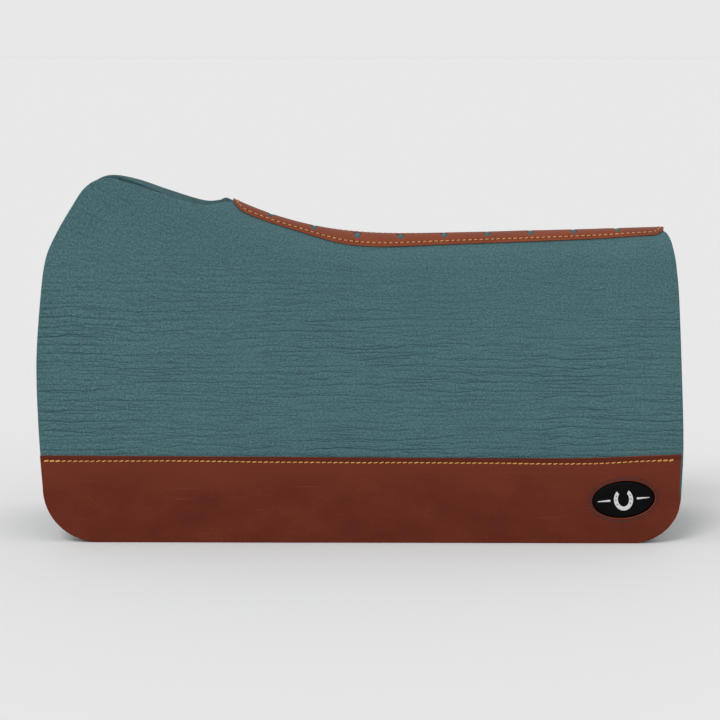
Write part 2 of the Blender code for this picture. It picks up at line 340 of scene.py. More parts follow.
# %% Laying it over the pad
def lay(name, bm, change=None, to_pad=bend, attributes=None):
    """Makes the flat bmesh an object, changed and bent. Its attribute pattern keeps its flat places."""
    mesh = bpy.data.meshes.new(name)
    bm.to_mesh(mesh)
    bm.free()
    flat = np.zeros(len(mesh.vertices) * 3)
    mesh.vertices.foreach_get("co", flat)
    flat = flat.reshape(-1, 3)
    mesh.attributes.new("pattern", "FLOAT_VECTOR", "POINT").data.foreach_set("vector", flat.ravel())
    for key, values in (attributes(flat) if attributes else {}).items():
        kind, field = ("FLOAT", "value") if values.ndim == 1 else ("FLOAT_VECTOR", "vector")
        mesh.attributes.new(key, kind, "POINT").data.foreach_set(field, values.astype(np.float32).ravel())
    raised = flat.copy()
    if change:
        raised[:, 2] += change(flat)
    mesh.vertices.foreach_set("co", to_pad(raised).ravel())
    laid = bmesh.new()
    laid.from_mesh(mesh)
    inside_out = laid.calc_volume(signed=True) < 0  # as on the off flap, which mirrors the near one
    laid.free()
    if inside_out:
        mesh.flip_normals()
    mesh.update()
    mesh.shade_smooth()
    piece = bpy.data.objects.new(name, mesh)
    bpy.context.scene.collection.objects.link(piece)
    return piece


# %% [markdown]
# ## Unevenness
#
# Hand-cut, hand-sewn felt and leather are nowhere quite even. A small table of random numbers,
# blended smoothly between its entries, gives a noise that a whole mesh can look up at once, the same
# in every run.


# %% Smooth noise
TABLE_SIZE = 128


def uneven(u, v, seed):
    """Smooth noise from -1 to 1 over a plane of unit cells."""
    table = np.random.default_rng(seed).uniform(-1, 1, (TABLE_SIZE, TABLE_SIZE))
    column, row = np.floor(u).astype(int), np.floor(v).astype(int)
    a, b = u - column, v - row
    a, b = a * a * (3 - 2 * a), b * b * (3 - 2 * b)
    low_left, low_right, high_left, high_right = (
        table[(column + i) % TABLE_SIZE, (row + j) % TABLE_SIZE]
        for i, j in ((0, 0), (1, 0), (0, 1), (1, 1))
    )
    return (low_left * (1 - a) + low_right * a) * (1 - b) + (high_left * (1 - a) + high_right * a) * b


def ease(value, low, high):
    """0 at low, 1 at high, and smooth between. low may be the larger."""
    share = np.clip((value - low) / (high - low), 0, 1)
    return share * share * (3 - 2 * share)


# %% [markdown]
# ## The two felt halves
#
# Pressed felt 20 mm thick is firm: it has a square cut edge, hardly rounded, and where it has been
# folded its skin gathers in long fine creases across the bend. Each layer of creases is a set of
# lines at an even pitch, pushed up and down by noise and broken into lengths, and three such layers
# cross and fork as real creases do. The mesh is too coarse for the thin dark lines of painted shade
# in them, so each of its points keeps a count and a strength for each layer, and the felt's finish
# paints the shade lines, and a painted highlight just below each, from those.
# Cloth simulation makes soft folds and swells a cushion, and this pad does neither, so its thickness
# is kept as cut.

# %% The edge of a flap, as (x, z)
FRONT_EDGE = [
    (-0.3705, 0.065),
    (-0.3765, 0.135),
    (-0.3800, 0.210),
    (-0.3768, 0.277),
    (-0.3710, 0.325),
    (-0.3588, 0.355),
    (-0.3400, 0.387),
    (-0.3230, 0.411),
    (-0.3030, 0.421),
    (-0.2710, 0.417),
    (-0.2330, 0.4045),
    (-0.2000, 0.3942),
    (-0.1830, 0.3910),
    (-0.1680, 0.3928),
]
REAR_EDGE = [
    (0.3775, 0.060),
    (0.3800, 0.110),
    (0.3794, 0.180),
    (0.3771, 0.278),
    (0.3737, 0.320),
    (0.3702, 0.342),
    (0.3680, 0.351),
    (0.3655, 0.3565),
]
FRONT_CORNER, REAR_CORNER = 0.065, 0.057
front_edge, rear_edge = smooth(FRONT_EDGE, 10), smooth(REAR_EDGE, 10)
rear_middle, front_middle = REAR_EDGE[0][0] - REAR_CORNER, FRONT_EDGE[0][0] + FRONT_CORNER
rear_corner = ellipse((rear_middle, REAR_CORNER), (REAR_CORNER, REAR_CORNER), -90, 0, 16)[::-1]
front_corner = ellipse((front_middle, FRONT_CORNER), (FRONT_CORNER, FRONT_CORNER), 180, 270, 16)[::-1]
flap_edge = np.vstack([rear_corner, front_corner, front_edge[1:]])
print("flap edge points:", len(flap_edge), "top of the lobe, mm:", round(front_edge[:, 1].max() * 1000, 1))


# %% One half's outline, flat
def felt_outline(side):
    """From the lower rear corner round the front and the withers to the seam, and down the rear edge."""
    seam_x = np.linspace(SPINE_FRONT_X, SPINE_REAR_X, 60)
    seam = np.stack([seam_x, np.full(len(seam_x), SEAM_S + side * SEAM_GAP / 2)], -1)
    down = rear_edge[:0:-1]
    edge = np.stack([flap_edge[:, 0], side * drop(flap_edge[:, 0], flap_edge[:, 1])], -1)
    return np.vstack([edge, seam, np.stack([down[:, 0], side * drop(down[:, 0], down[:, 1])], -1)])


# %% Creases
CREASE_DEPTH = 0.0008
CREASE_WIDTH = 0.00070
CREASE_LINE = 0.00078
CREASE_LIP = 1.9
# seed, pitch, length and strength of each layer, then reach, length and height of each wandering
CREASE_LAYERS = ((1, 0.0105, 0.055, 1.0), (2, 0.0080, 0.034, 0.90), (3, 0.0058, 0.018, 0.65))
CREASE_WANDER = ((0.0042, 0.085, 0.040), (0.0015, 0.020, 0.014), (0.0006, 0.0070, 0.006))
BADGE_CENTRE = (0.3095, 0.0512)
BADGE_TILT = math.radians(5)
BADGE = (0.0425, 0.0273)
POCKET_DEPTH = 0.0018


def crease_lines(x, z, side):
    """For each layer: a count, half past a whole number on its lines, and how strongly they show."""
    counts, shown = [], []
    for layer, pitch, length, strength in CREASE_LAYERS:
        seed = layer + 100 * side
        wander = 0
        for number, (reach, along, up) in enumerate(CREASE_WANDER):
            wander += reach * uneven(x / along, z / up, seed + 10 * number)
        count = (z + wander) / pitch
        line = np.floor(count)
        showing = ease(uneven(x / length + 7.37 * line, 1.71 * line, seed + 30), -0.42, 0.12) * strength
        counts.append(count)
        shown.append(showing * (0.80 + 0.20 * uneven(x / 0.0045 + 3.1 * line, line, seed + 40)))
    amount = ease(z, 0.400, 0.230) * (1 - 0.45 * ease(x, -0.15, 0.10) * ease(z, 0.20, 0.30))
    amount *= 0.85 + 0.25 * uneven(x / 0.09, z / 0.05, 40)
    return np.stack(counts, -1), np.stack(shown, -1) * amount[:, None]


def badge_reach(x, z, radii):
    """Distance from the badge's centre, as a share of an oval's radius."""
    across = (x - BADGE_CENTRE[0]) * math.cos(BADGE_TILT) + (z - BADGE_CENTRE[1]) * math.sin(BADGE_TILT)
    up = (z - BADGE_CENTRE[1]) * math.cos(BADGE_TILT) - (x - BADGE_CENTRE[0]) * math.sin(BADGE_TILT)
    return np.hypot(across / radii[0], up / radii[1])


# %% Where the spine strip's diamonds are
DIAMONDS = 9
DIAMOND_FIRST_X, DIAMOND_PITCH = -0.106, 0.0517
DIAMOND_HALF = (0.0056, 0.0155)
diamond_x = DIAMOND_FIRST_X + DIAMOND_PITCH * np.arange(DIAMONDS)
middle_line = smooth(SPINE_MIDDLE, 8)


def spine_middle(x):
    """How far round from the crest the strip's middle lies at x."""
    return np.interp(x, middle_line[:, 0], middle_line[:, 1])


def diamond_reach(flat):
    """Distance from the nearest diamond's middle, as a share of its own size."""
    number = np.clip(np.round((flat[:, 0] - DIAMOND_FIRST_X) / DIAMOND_PITCH), 0, DIAMONDS - 1)
    middle = DIAMOND_FIRST_X + number * DIAMOND_PITCH
    across = flat[:, 1] - spine_middle(middle)
    return np.abs(flat[:, 0] - middle) / DIAMOND_HALF[0] + np.abs(across) / DIAMOND_HALF[1]


# %% Felt half
BULGE = 0.0021


def felt_marks(flat):
    places = bend(flat)
    counts, shown = crease_lines(places[:, 0], places[:, 2], 1 + (flat[0, 1] > 0))
    outer = (flat[:, 2] > -0.001).astype(float)
    # 1 on the cut faces and the inner face, which get painted shade
    cut_shade = 1 - ease(flat[:, 2], -0.0006, -0.0002)
    return {"crease_count": counts, "crease_shown": shown * outer[:, None], "cut": cut_shade}


def felt_relief(flat):
    """Lifts of the felt's faces: creases, unevenness, the badge's place and bulges into the diamonds."""
    x, s, h = flat.T
    outer = h > -FELT / 2
    lumps = 0.00014 * uneven(x / 0.050, s / 0.035, 50) + 0.00012 * uneven(x / 0.016, s / 0.006, 51)
    lumps += 0.00010 * uneven(x / 0.0028, s / 0.0028, 52)
    places = bend(flat)
    counts, shown = crease_lines(places[:, 0], places[:, 2], 1 + (flat[0, 1] > 0))
    off = (counts - np.floor(counts) - 0.5) * [layer[1] for layer in CREASE_LAYERS]
    valleys = (shown * np.exp(-((off / CREASE_WIDTH) ** 2))).max(1)
    lips = (shown * np.exp(-((off / CREASE_WIDTH + CREASE_LIP) ** 2))).max(1)
    valleys = CREASE_DEPTH * (valleys - 0.3 * lips) * ease(h, -0.004, -0.0005)
    pocket = 1 - ease(badge_reach(places[:, 0], places[:, 2], BADGE), 1.02, 1.12)
    bulge = BULGE * ease(diamond_reach(flat), 1.0, 0.60) * ease(h, -0.012, 0)
    covered = ease(np.abs(s - spine_middle(x)), 0.028, 0.024)
    lift = lumps * (1 - covered) - valleys - POCKET_DEPTH * pocket + bulge
    return np.where(outer, lift, -lumps * (1 - covered))


felts = {}
FELT_ROUNDING = 0.0015
FELT_DEPTHS = (-0.006, -0.010, -0.014)
for side_name, side in (("near", -1), ("off", 1)):
    fine, wide = ((0.0010, 0.0030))
    bm = cut_sheet([felt_outline(side)], -FELT, 0, FELT_ROUNDING)
    slice_sheet(bm, slices(-HALF_LENGTH, HALF_LENGTH, 0.010), side * slices(-0.009, S_FLOOR, 0.009))
    for depth in FELT_DEPTHS:
        everything = bm.verts[:] + bm.edges[:] + bm.faces[:]
        bmesh.ops.bisect_plane(bm, geom=everything, plane_co=(0, 0, depth), plane_no=(0, 0, 1), dist=1e-6)
    slice_sheet(bm, slices(-HALF_LENGTH, HALF_LENGTH, wide), side * slices(0.034, 0.314, fine), face=0)
    steps = slices(-0.005, 0.005, 0.001)
    near_diamonds = [middle + step for middle in diamond_x for step in steps]
    slice_sheet(bm, near_diamonds, slices(-0.026, 0.017, 0.001), face=0, reach=0.030)
    felts[side_name] = lay(f"{side_name}_felt", bm, felt_relief, attributes=felt_marks)
    print(side_name, "felt:", len(felts[side_name].data.polygons), "faces")

# %% [markdown]
# ## Rows of stitching
#
# A lockstitch shows as short lengths of thread that dive into a hole at each end, so every stitch is
# its own little rod with blunt, sunken ends. The leather round a row sinks too. To mark it, each
# point of a leather knows how far along the row it is, and how far off to the side: the same two
# numbers later paint shade into the holes and the row's groove.


# %% Where a point is on a row
BLOCK = 4000


def on_row(points, line, closed=False):
    """How far along the row each point is, and how far off it."""
    ends = np.vstack([line, line[:1]]) if closed else line
    starts, runs = ends[:-1], np.diff(ends, axis=0)
    lengths = np.hypot(*runs.T)
    before = np.concatenate([[0], np.cumsum(lengths)[:-1]])
    found = np.zeros((len(points), 2))
    for first in range(0, len(points), BLOCK):
        block = points[first : first + BLOCK, None]
        share = np.clip(((block - starts) * runs).sum(-1) / lengths**2, 0, 1)
        off = block - starts - share[..., None] * runs
        nearest = np.hypot(off[..., 0], off[..., 1]).argmin(1)
        rows = np.arange(len(nearest))
        off = off[rows, nearest]
        turn = runs[nearest, 0] * off[:, 1] - runs[nearest, 1] * off[:, 0]
        distance = np.hypot(*off.T) * np.sign(turn)
        along = before[nearest] + share[rows, nearest] * lengths[nearest]
        found[first : first + BLOCK] = np.stack([along, distance], -1)
    return found


def walk(line, pitch, closed=False):
    """Middles and directions of stitches along the row, and the pitch that fits it evenly."""
    ends = np.vstack([line, line[:1]]) if closed else line
    lengths = np.concatenate([[0], np.cumsum(np.hypot(*np.diff(ends, axis=0).T))])
    count = round(lengths[-1] / pitch)
    pitch = lengths[-1] / count
    at = (np.arange(count) + 0.5) * pitch
    middle, before, after = (
        np.stack([np.interp(at + shift, lengths, ends[:, k]) for k in (0, 1)], -1)
        for shift in (0, -pitch / 4, pitch / 4)
    )
    return middle, np.arctan2(*(after - before).T[::-1]), pitch


# %% Stitches
def stitches(line, pitch, size, height, slant=0.0, closed=False, doubled=0):
    """A bmesh of rods along the row. size is their length, width and thickness."""
    middles, turns, _ = walk(line, pitch, closed)
    leans = np.random.default_rng(5).normal(0, 0.05, len(middles))
    bm = bmesh.new()
    for number, ((x, s), turn) in enumerate(zip(middles, turns)):
        at_end = min(number, len(middles) - 1 - number) < doubled
        for shift in (-0.00035, 0.00035) if at_end else (0.0,):
            made = bmesh.ops.create_uvsphere(bm, u_segments=8, v_segments=8, radius=0.5)["verts"]
            lean = turn + slant + leans[number]
            for vert in made:
                rod_x = math.copysign(abs(2 * vert.co.z) ** 0.75, vert.co.z) / 2
                full = (1 - min(1.0, abs(2 * rod_x)) ** 3) ** 0.5
                ring = max(1e-6, math.hypot(vert.co.x, vert.co.y))
                along, off, up = rod_x, full * vert.co.x / ring / 2, full * vert.co.y / ring / 2
                along, off, up = along * size[0], off * size[1] + shift, up * size[2]
                up -= 0.35 * size[2] * (2 * rod_x) ** 2
                vert.co = (
                    x + along * math.cos(lean) - off * math.sin(lean),
                    s + along * math.sin(lean) + off * math.cos(lean),
                    height + up,
                )
    bmesh.ops.remove_doubles(bm, verts=bm.verts, dist=1e-6)
    bmesh.ops.recalc_face_normals(bm, faces=bm.faces)
    return bm


# %% [markdown]
# ## The wear leathers
#
# The leather on the lower flap takes the rub of the cinch and the rider's leg. It is one flat panel,
# cut to the flap's own corners, glued, and stitched only along its top. It has an oval window for the
# badge. It lies wholly on the flap, so it is drawn in (x, z), which keeps its top edge and its
# stitching straight.

# %% Sizes of the wear leather
BAND_TOP = [
    (-0.375, 0.1010),
    (-0.200, 0.1007),
    (-0.060, 0.1000),
    (0.100, 0.0990),
    (0.220, 0.0986),
    (0.285, 0.0996),
    (0.330, 0.1016),
    (0.377, 0.1032),
]
BAND_REAR_INSET = 0.003
STITCH_DROP = 0.0062
BAND_PITCH, BAND_STITCH = 0.0068, (0.0056, 0.0014, 0.0011)
RING_PITCH, RING_STITCH = 0.0025, (0.0016, 0.0009, 0.0008)
STITCH_HEIGHT = LEATHER_TOP + 0.0001
WINDOW = (0.0370, 0.0218)
BADGE_RING = (0.0400, 0.0248)
PRESSED_LINE = -0.0106


def lay_on_flap(side):
    """Bends points (x, z, h) over one flap."""

    def place(flat):
        x, z, h = flat.T
        y, slope = half_width(z)
        run = np.hypot(1, slope)
        return np.stack([x, side * (y + h / run), z - h * slope / run], -1)

    return place


def badge_oval(radii, steps=64):
    """An oval round the badge's centre, with its rear end tilted up."""
    turned = ellipse((0, 0), radii, steps=steps) @ np.array(
        [[math.cos(BADGE_TILT), math.sin(BADGE_TILT)], [-math.sin(BADGE_TILT), math.cos(BADGE_TILT)]]
    )
    return turned + BADGE_CENTRE


# %% Its outline and its row
band_top = smooth(BAND_TOP, 12)
below = flap_edge[flap_edge[:, 1] < band_top[0, 1] - 0.004]
below = np.vstack([rear_edge[rear_edge[:, 1] < band_top[-1, 1] - 0.004][:0:-1], below])
band_top[0, 0] = np.interp(band_top[0, 1], front_edge[:30, 1], front_edge[:30, 0])
band_top[-1, 0] = np.interp(band_top[-1, 1], rear_edge[:30, 1], rear_edge[:30, 0])
band_outline = np.vstack([below, band_top])
up_the_rear = ease(band_outline[:, 0], 0.30, 0.37) * ease(band_outline[:, 1], 0.030, 0.075)
band_outline[:, 0] -= BAND_REAR_INSET * up_the_rear
row_x = np.linspace(BAND_TOP[0][0] + 0.0055, BAND_TOP[-1][0] - 0.0085, 200)
row_z = np.interp(row_x, band_top[:, 0], band_top[:, 1]) - STITCH_DROP
band_row = np.stack([row_x, row_z + 0.0005 * uneven(row_x / 0.055, 0 * row_x, 60)], -1)
band_pitch = walk(band_row, BAND_PITCH)[2]
ring_row = badge_oval(BADGE_RING, 96)
ring_pitch = walk(ring_row, RING_PITCH, closed=True)[2]
print("stitch pitches, mm:", round(band_pitch * 1000, 2), round(ring_pitch * 1000, 2))


# %% Marks and relief
RIM_MARGIN = 0.0001
BACK_DEPTH = 0.0012


def cut_rim(flat):
    """1 on the cut rim of a leather, between its two faces, and 0 elsewhere."""
    h = flat[:, 2]
    return ((h < LEATHER_TOP - RIM_MARGIN) & (h > GAP + RIM_MARGIN)).astype(float)


def band_marks(flat):
    row = on_row(flat[:, :2], band_row)
    ring = on_row(flat[:, :2], ring_row, closed=True)
    rim = cut_rim(flat)
    blank = np.zeros((len(flat), 1))
    return {"row": np.hstack([row, blank]), "ring": np.hstack([ring, blank]), "rim": rim}


def stitched_down(row, pitch, depth, reach):
    """The sinking of leather along a row, deepest at the holes."""
    along, off = row.T
    return -depth * np.exp(-((off / reach) ** 2)) * (0.65 + 0.35 * np.cos(2 * np.pi * along / pitch))


def band_relief(flat):
    row = on_row(flat[:, :2], band_row)
    ring = on_row(flat[:, :2], ring_row, closed=True)
    waves = uneven(flat[:, 0] / 0.09, flat[:, 1] / 0.05, 61)
    lift = stitched_down(row, band_pitch, 0.00050, 0.0018)
    lift += stitched_down(ring, ring_pitch, 0.00030, 0.0011)
    lift += -0.00012 * np.exp(-(((row[:, 1] - PRESSED_LINE) / 0.0006) ** 2))
    lift += 0.00045 * np.clip(waves, 0, 1)
    return np.where(flat[:, 2] > LEATHER_TOP - BACK_DEPTH, lift, np.clip(lift, 0, 1))


# %% Wear leathers and their rows
bands, band_rows, ring_rows = {}, {}, {}
for side_name, side in (("near", -1), ("off", 1)):
    bm = cut_sheet([band_outline, badge_oval(WINDOW)], GAP, LEATHER_TOP, 0.0006)
    slice_sheet(bm, slices(-HALF_LENGTH, HALF_LENGTH, 0.008), slices(0, 0.11, 0.008))
    near_row = np.concatenate([slices(0.084, 0.099, 0.0006), slices(0.0, 0.084, 0.003)])
    slice_sheet(bm, slices(-HALF_LENGTH, HALF_LENGTH, 0.0016), near_row, face=LEATHER_TOP)
    bands[side_name] = lay(
        f"{side_name}_wear_leather", bm, band_relief, lay_on_flap(side), attributes=band_marks
    )
    thread = stitches(band_row, BAND_PITCH, BAND_STITCH, STITCH_HEIGHT, 0.16, doubled=3)
    band_rows[side_name] = lay(f"{side_name}_wear_leather_thread", thread, to_pad=lay_on_flap(side))
    thread = stitches(ring_row, RING_PITCH, RING_STITCH, LEATHER_TOP, closed=True)
    ring_rows[side_name] = lay(f"{side_name}_badge_thread", thread, to_pad=lay_on_flap(side))
    print(side_name, "wear leather:", len(bands[side_name].data.polygons), "faces")

# %% [markdown]
# ## The badge
#
# Behind the window lies a black badge, wider than the window and let into the felt, with its middle
# raised to fill the window. Its mark is a plain horseshoe between two bars, in light grey, cut as
# thin sheets of their own.

# %% Badge
badges, motifs = {}, {}
BADGE_LOW, BADGE_HIGH = -0.0013, -0.0001
BADGE_RAISE = 0.0021


def badge_relief(flat):
    middle = np.clip(1 - (badge_reach(flat[:, 0], flat[:, 1], WINDOW) / 0.985) ** 14, 0, 1)
    return np.where(flat[:, 2] > (BADGE_LOW + BADGE_HIGH) / 2, BADGE_RAISE * middle, 0)


def on_badge(points):
    """Turns points drawn round (0, 0) to the badge's place and tilt."""
    c, s = math.cos(BADGE_TILT), math.sin(BADGE_TILT)
    return np.asarray(points) @ np.array([[c, s], [-s, c]]) + BADGE_CENTRE


SHOE_OUTER, SHOE_INNER = (0.0112, 0.0128), (0.0066, 0.0086)
NAIL_ANGLES = (-205, -180, -152, -28, 0, 25)
NAIL_RING, NAIL = (0.0089, 0.0107), (0.0006, 0.0009)
BAR_START, BAR_END = 0.0165, 0.0300
BAR_THICK, BAR_THIN = 0.0012, 0.0004
shoe = np.vstack(
    [ellipse((0, 0), SHOE_OUTER, -232, 52, 40), ellipse((0, 0.0004), SHOE_INNER, -226, 46, 36)[::-1]]
)
nails = []
for angle in np.radians(NAIL_ANGLES):
    nail_middle = (NAIL_RING[0] * math.cos(angle), NAIL_RING[1] * math.sin(angle))
    nails.append(ellipse(nail_middle, NAIL, steps=10))
bar = np.vstack(
    [
        ellipse((BAR_START, 0), (BAR_THICK, BAR_THICK), 90, 270, 8),
        ellipse((BAR_END, 0), (BAR_THIN, BAR_THIN), -90, 90, 6),
    ]
)

for side_name, side in (("near", -1), ("off", 1)):
    bm = cut_sheet([badge_oval(BADGE)], BADGE_LOW, BADGE_HIGH, 0.0003)
    slice_sheet(bm, slices(0.26, 0.36, 0.0012), slices(0.02, 0.09, 0.0012))
    badges[side_name] = lay(f"{side_name}_badge", bm, badge_relief, lay_on_flap(side))
    bm = cut_sheet(
        [on_badge(shoe), *map(on_badge, nails), on_badge(bar), on_badge(bar * (-1, 1))[::-1]],
        BADGE_HIGH + BADGE_RAISE - 0.0003,
        BADGE_HIGH + BADGE_RAISE + 0.00035,
        0.0001,
    )
    slice_sheet(bm, slices(0.26, 0.36, 0.004), slices(0.02, 0.09, 0.004))
    motifs[side_name] = lay(f"{side_name}_badge_mark", bm, to_pad=lay_on_flap(side))
print("badge faces:", len(badges["near"].data.polygons), "mark faces:", len(motifs["near"].data.polygons))

# %% [markdown]
# ## The spine leather
#
# The strip over the seam carries a row of diamond cut-outs, which let air through to the horse's
# back, each with a pressed line round it. Its one row of stitching runs all the way round. It is
# drawn flat as well, along a line that wavers a little from the crest, as laid by hand, and it
# crosses the fold between the two flaps.

# %% Its outline and row
SPINE_HALF_WIDTH = 0.025
SPINE_CORNER = 0.016
SPINE_STITCH_INSET = 0.0046
SPINE_PITCH, SPINE_STITCH = 0.0067, (0.0051, 0.0016, 0.0014)


def spine_line(inset):
    """The strip's outline, drawn this far inside its edge."""
    front, rear = SPINE_FRONT_X + 0.001 + inset, SPINE_REAR_X + 0.001 - inset
    corner = SPINE_CORNER - inset / 2
    half = SPINE_HALF_WIDTH - inset
    side_x = np.linspace(front + corner, rear - corner, 100)[1:-1]
    front_arc = ellipse((front + corner, 0), (corner, half), 90, 180, 12)[::-1]
    rear_arc = ellipse((rear - corner, 0), (corner, half), 0, 90, 12)[::-1]
    off = np.vstack([front_arc, np.stack([side_x, np.full(len(side_x), half)], -1), rear_arc])
    line = np.vstack([off, off[-2:0:-1] * (1, -1)])
    line[:, 1] += spine_middle(line[:, 0])
    return line


spine_row = spine_line(SPINE_STITCH_INSET)
spine_pitch = walk(spine_row, SPINE_PITCH, closed=True)[2]
diamonds = []
for middle in diamond_x:
    corners = np.array([(-1, 0), (0, -1), (1, 0), (0, 1)]) * DIAMOND_HALF
    diamonds.append(corners + (middle, spine_middle(middle)))
print("spine stitch pitch, mm:", round(spine_pitch * 1000, 2))


# %% Marks and relief
def spine_marks(flat):
    row = on_row(flat[:, :2], spine_row, closed=True)
    rim = cut_rim(flat)
    return {"row": np.hstack([row, np.zeros((len(flat), 1))]), "rim": rim, "diamond": diamond_reach(flat)}


def spine_relief(flat):
    row = on_row(flat[:, :2], spine_row, closed=True)
    reach = diamond_reach(flat)
    waves = uneven(flat[:, 0] / 0.05, flat[:, 1] / 0.03, 62)
    lift = stitched_down(row, spine_pitch, 0.00055, 0.0018)
    lift += -0.00030 * np.exp(-(((reach - 1.36) / 0.09) ** 2))
    lift += -0.00060 * np.clip(1.30 - reach, 0, 1)
    lift += 0.0005 * np.clip(waves, 0, 1)
    return np.where(flat[:, 2] > LEATHER_TOP - BACK_DEPTH, lift, np.clip(lift, 0, 1))


# %% Spine leather and its row
bm = cut_sheet([spine_line(0.0), *diamonds], GAP, LEATHER_TOP, 0.0006)
slice_sheet(bm, slices(-0.16, 0.366, 0.006), slices(-0.04, 0.035, 0.004))
fine = 0.0009
slice_sheet(bm, slices(-0.16, 0.366, fine), slices(-0.04, 0.035, fine), face=LEATHER_TOP)
spine = lay("spine_strip", bm, spine_relief, attributes=spine_marks)
thread = stitches(spine_row, SPINE_PITCH, SPINE_STITCH, STITCH_HEIGHT, 0.10, closed=True)
spine_thread = lay("spine_strip_thread", thread)
print("spine leather:", len(spine.data.polygons), "faces")

# %% [markdown]
# ## Materials
#
# Every finish is mixed from noise at the scale of the real stuff: the felt's fibre and creases, the
# leather's grain and pull-up, the thread's twist. Each pattern is read from the flat places that the
# pieces kept, so it follows the pad round its bends. A picture wrapped on would show seams and
# stretch.


# %% Node helpers
def new_material(name, roughness, **inputs):
    """A material, its shader, and a function that adds a node to it."""
    material = bpy.data.materials.new(name)
    material.use_nodes = True
    tree = material.node_tree
    shader = tree.nodes["Principled BSDF"]
    shader.inputs["Roughness"].default_value = roughness
    for key, value in inputs.items():
        shader.inputs[key.replace("_", " ")].default_value = value

    def add(kind, inputs=None, **settings):
        node = tree.nodes.new(kind)
        for key, value in settings.items():
            setattr(node, key, value)
        for key, value in (inputs or {}).items():
            if isinstance(value, bpy.types.NodeSocket):
                tree.links.new(value, node.inputs[key])
            else:
                node.inputs[key].default_value = value
        return node

    return material, shader, add, tree.links.new


def ramp(add, value, stops):
    """A colour ramp of the value. stops are (place, grey)."""
    node = add("ShaderNodeValToRGB", {"Fac": value})
    while len(node.color_ramp.elements) < len(stops):
        node.color_ramp.elements.new(0.5)
    for element, (place, grey) in zip(node.color_ramp.elements, stops):
        element.position = place
        element.color = (grey, grey, grey, 1)
    return node.outputs["Color"]


def math_node(add, operation, a, b=0.0, clamp=False):
    return add("ShaderNodeMath", {0: a, 1: b}, operation=operation, use_clamp=clamp).outputs[0]


def mix(add, factor, a, b, blend="MIX"):
    node = add("ShaderNodeMix", data_type="RGBA", blend_type=blend)
    tree = node.id_data
    for socket, value in zip((node.inputs[0], node.inputs[6], node.inputs[7]), (factor, a, b)):
        if isinstance(value, bpy.types.NodeSocket):
            tree.links.new(value, socket)
        else:
            socket.default_value = value
    return node.outputs[2]


def stretched(add, source, scale):
    """The flat places, times a scale for each direction."""
    return add("ShaderNodeVectorMath", {0: source, 1: scale}, operation="MULTIPLY").outputs[0]


def noise_of(add, vector, detail=3.0, rough=0.5):
    inputs = {"Vector": vector, "Scale": 1.0, "Detail": detail, "Roughness": rough}
    return add("ShaderNodeTexNoise", inputs).outputs["Fac"]


def flat_places(add):
    return add("ShaderNodeAttribute", attribute_name="pattern").outputs["Vector"]


def value_of(add, name):
    """The attribute of this name, as one number."""
    return add("ShaderNodeAttribute", attribute_name=name).outputs["Fac"]


def parts_of(add, name):
    """The three numbers of the attribute of this name, as X, Y and Z."""
    vector = add("ShaderNodeAttribute", attribute_name=name).outputs["Vector"]
    return add("ShaderNodeSeparateXYZ", {0: vector}).outputs


def near(add, value, place, reach):
    """1 where the value is at the place, falling to 0 at this reach either side of it."""
    away = math_node(add, "ABSOLUTE", math_node(add, "SUBTRACT", value, place))
    return math_node(add, "SUBTRACT", 1.0, math_node(add, "DIVIDE", away, reach), clamp=True)


def tinted(colour, *shares):
    """The colour with its red, green and blue multiplied by these."""
    return (*(part * share for part, share in zip(colour, shares)), 1)


# %% [markdown]
# ### The felt's finish
#
# Dyed wool felt is matte, with lighter and darker fibres. Noise at two fine scales makes the fibres.
# The counts kept at each point place painted shade as dark lines in the creases, with a painted
# highlight just below each, and the cut faces and the inner face get painted shade too. Hair would
# be truer close up, but far heavier.

# %% Felt
FELT_DARK, FELT_LIGHT = (0.0480, 0.1090, 0.1190, 1), (0.0900, 0.1850, 0.1990, 1)
FELT_HAIR, FELT_FLECK = (0.030, 0.066, 0.072, 1), (0.012, 0.030, 0.034, 1)
# The lip colour is a painted highlight below each crease, and the crease colour is painted shade in it.
FELT_LIP_HIGHLIGHT, FELT_CREASE_SHADE = (0.112, 0.208, 0.220, 1), (0.014, 0.036, 0.042, 1)
# Painted shade for the felt's cut faces and inner face
FELT_CUT_SHADE = (0.020, 0.048, 0.054, 1)

felt_paint, shader, add, link = new_material("teal_felt", 0.95, Sheen_Weight=0.12, Sheen_Roughness=0.6)
shader.inputs["Sheen Tint"].default_value = (0.55, 0.75, 0.78, 1)
shader.inputs["Specular IOR Level"].default_value = 0.05
places = flat_places(add)
fibre = noise_of(add, stretched(add, places, (420, 520, 420)), 3, 0.65)
fuzz = noise_of(add, stretched(add, places, (800, 950, 800)), 2, 0.6)
blotch = noise_of(add, stretched(add, places, (9, 16, 9)), 2, 0.5)
hair_lines = noise_of(add, stretched(add, places, (34, 300, 60)), 2, 0.55)
fleck = noise_of(add, stretched(add, places, (170, 300, 170)), 1, 0.5)
counts, shown = parts_of(add, "crease_count"), parts_of(add, "crease_shown")
# Painted shade lines in the creases, and painted highlights just below them
crease_shade, lip_highlight = 0.0, 0.0
for axis, (_, pitch, _, _) in zip("XYZ", CREASE_LAYERS):
    off = math_node(add, "SUBTRACT", math_node(add, "FRACT", counts[axis]), 0.5)
    off = math_node(add, "MULTIPLY", off, pitch / CREASE_LINE)
    line = math_node(add, "MULTIPLY", near(add, off, 0.0, 1.0), shown[axis])
    lip_highlight_line = math_node(add, "MULTIPLY", near(add, off, -CREASE_LIP, 1.0), shown[axis])
    crease_shade = math_node(add, "MAXIMUM", crease_shade, line)
    lip_highlight = math_node(add, "MAXIMUM", lip_highlight, lip_highlight_line)
colour = mix(add, ramp(add, fibre, [(0.38, 0.0), (0.62, 1.0)]), FELT_DARK, FELT_LIGHT)
colour = mix(add, 1.0, colour, ramp(add, fuzz, [(0.38, 0.78), (0.62, 1.20)]), "MULTIPLY")
